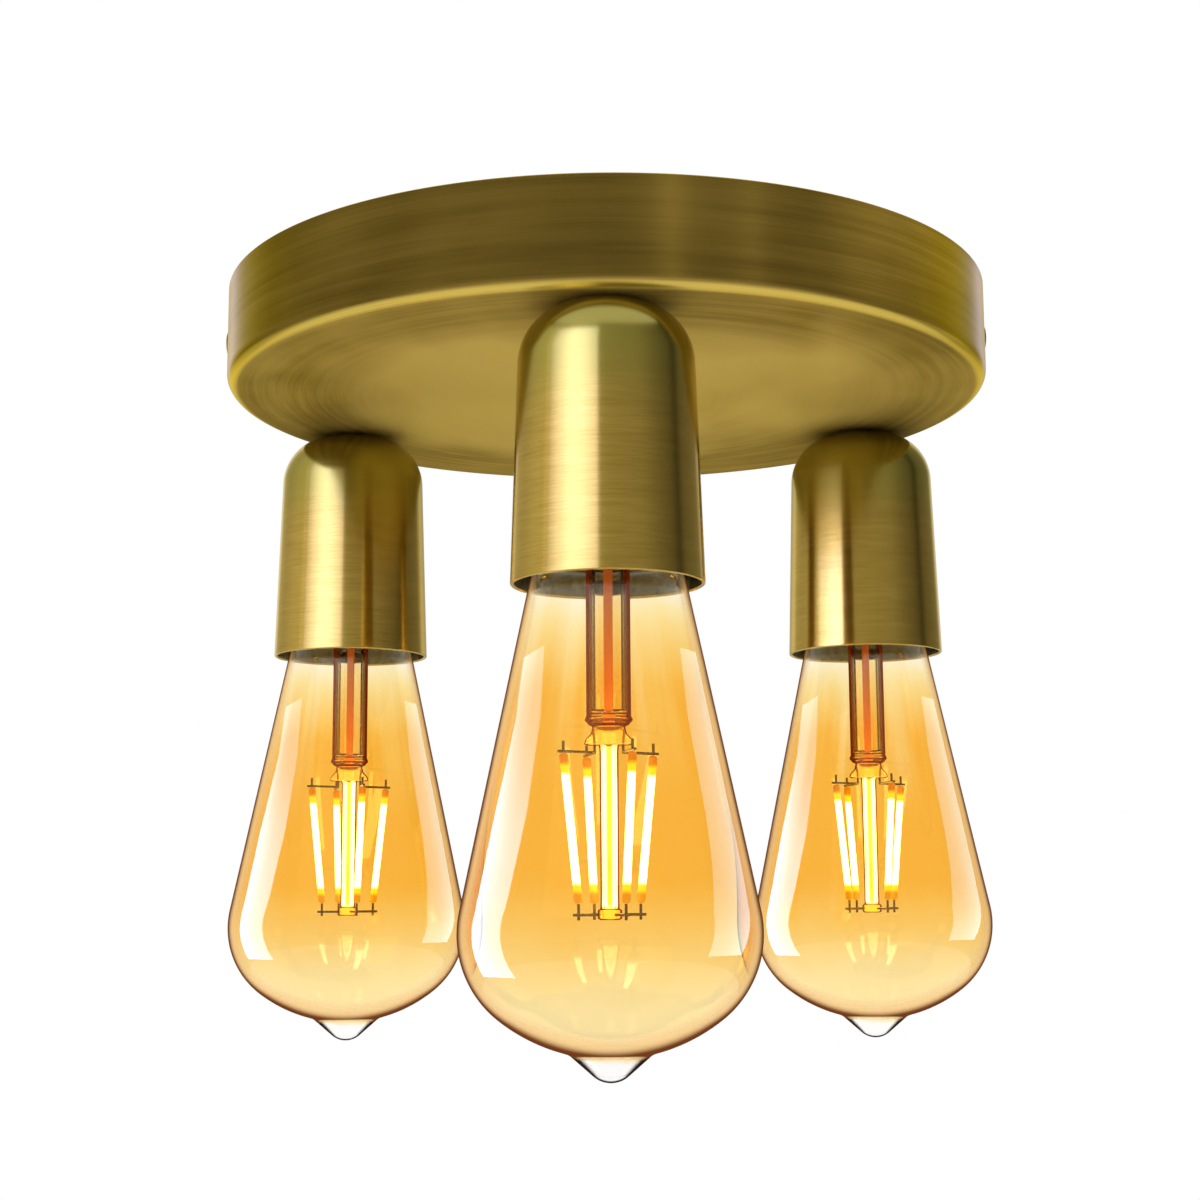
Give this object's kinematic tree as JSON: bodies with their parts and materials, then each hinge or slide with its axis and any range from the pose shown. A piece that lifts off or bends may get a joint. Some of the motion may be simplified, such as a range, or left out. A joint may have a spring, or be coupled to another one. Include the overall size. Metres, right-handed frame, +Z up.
{
  "type": "semi flush ceiling light",
  "caption": "Round brass ceiling canopy with domed screw-lamp holders and tapered amber filament lamps hanging below it.",
  "frame": {"origin": "centre of the canopy's open rim, in the plane of the ceiling", "axes": "+Z up into the ceiling, -Y towards the front holder, the mounting bracket along X"},
  "size_m": [0.2068, 0.212, 0.191],
  "materials": {
    "canopy_brass": "antique brass, brushed around the axis, lacquered",
    "cover_brass": "antique brass, brushed around the axis, lacquered",
    "screw_brass": "antique brass",
    "zinc_steel": "zinc plated",
    "machined_brass": "turned, bare",
    "tinned_copper": "tinned",
    "white_nylon": "moulded",
    "brown_insulation": "silicone, satin",
    "blue_insulation": "silicone, satin",
    "green_yellow_insulation": "green with a yellow stripe",
    "white_porcelain": "glazed",
    "amber_glass": "amber lacquered outside, polished",
    "clear_glass": "drawn and fused",
    "led_filament": "phosphor coated, lit",
    "nickel_wire": "drawn",
    "nickel_cap": "nickel plated, rolled",
    "black_vitrite": "fused black glass",
    "solder": "solder, dull",
    "circuit_board": "solder mask"
  },
  "bodies": {
    "fixture": {"block_fixing_screws": "zinc_steel", "canopy": "canopy_brass", "canopy_side_screws": "screw_brass", "centre_contacts": "machined_brass", "earth_nuts": "zinc_steel", "earth_stud": "zinc_steel", "earth_tag": "tinned_copper", "earth_wire": "green_yellow_insulation", "holder_cover_front": "cover_brass", "holder_cover_left": "cover_brass", "holder_cover_right": "cover_brass", "holder_porcelain_front": "white_porcelain", "holder_porcelain_left": "white_porcelain", "holder_porcelain_right": "white_porcelain", "holder_saddles": "zinc_steel", "holder_terminal_screws": "zinc_steel", "holder_terminals": "machined_brass", "live_wires": "brown_insulation", "lock_nuts": "machined_brass", "lock_washers": "zinc_steel", "mounting_bracket": "zinc_steel", "neutral_wires": "blue_insulation", "saddle_screws": "zinc_steel", "screw_shells": "machined_brass", "terminal_block": "white_nylon", "terminal_clamp_screws": "zinc_steel", "terminal_inserts": "machined_brass", "terminal_rivets": "machined_brass", "threaded_tubes": "machined_brass"},
    "bulb_front_tip": {"bulb_front_contact": "solder"},
    "bulb_front": {"bulb_front_glass": "amber_glass", "bulb_front_stem": "clear_glass", "bulb_front_exhaust_tube": "clear_glass", "bulb_front_filaments": "led_filament", "bulb_front_filament_supports": "nickel_wire", "bulb_front_lead_wires": "nickel_wire", "bulb_front_cap": "nickel_cap", "bulb_front_cap_insulator": "black_vitrite", "bulb_front_driver_board": "circuit_board"},
    "bulb_left_tip": {"bulb_left_contact": "solder"},
    "bulb_left": {"bulb_left_glass": "amber_glass", "bulb_left_stem": "clear_glass", "bulb_left_exhaust_tube": "clear_glass", "bulb_left_filaments": "led_filament", "bulb_left_filament_supports": "nickel_wire", "bulb_left_lead_wires": "nickel_wire", "bulb_left_cap": "nickel_cap", "bulb_left_cap_insulator": "black_vitrite", "bulb_left_driver_board": "circuit_board"},
    "bulb_right_tip": {"bulb_right_contact": "solder"},
    "bulb_right": {"bulb_right_glass": "amber_glass", "bulb_right_stem": "clear_glass", "bulb_right_exhaust_tube": "clear_glass", "bulb_right_filaments": "led_filament", "bulb_right_filament_supports": "nickel_wire", "bulb_right_lead_wires": "nickel_wire", "bulb_right_cap": "nickel_cap", "bulb_right_cap_insulator": "black_vitrite", "bulb_right_driver_board": "circuit_board"}
  },
  "joints": [
    {"name": "bulb_front_travel", "type": "slide", "parent": "fixture", "child": "bulb_front_tip", "axis": [0, 0, -1], "range_m": [0, 0.02]},
    {"name": "bulb_front_turn", "type": "hinge", "parent": "bulb_front_tip", "child": "bulb_front", "pos_m": [0, -0.0825, -0.0546], "axis": [0, 0, -1], "range_deg": [0, 1980]},
    {"name": "bulb_left_travel", "type": "slide", "parent": "fixture", "child": "bulb_left_tip", "axis": [0, 0, -1], "range_m": [0, 0.02]},
    {"name": "bulb_left_turn", "type": "hinge", "parent": "bulb_left_tip", "child": "bulb_left", "pos_m": [-0.07145, 0.04125, -0.0546], "axis": [0, 0, -1], "range_deg": [0, 1980]},
    {"name": "bulb_right_travel", "type": "slide", "parent": "fixture", "child": "bulb_right_tip", "axis": [0, 0, -1], "range_m": [0, 0.02]},
    {"name": "bulb_right_turn", "type": "hinge", "parent": "bulb_right_tip", "child": "bulb_right", "pos_m": [0.07145, 0.04125, -0.0546], "axis": [0, 0, -1], "range_deg": [0, 1980]}
  ],
  "couplings": [
    {"joint": "bulb_front_travel", "follows": "bulb_front_turn", "m_per_rad": 0.00057773},
    {"joint": "bulb_left_travel", "follows": "bulb_left_turn", "m_per_rad": 0.00057773},
    {"joint": "bulb_right_travel", "follows": "bulb_right_turn", "m_per_rad": 0.00057773}
  ]
}
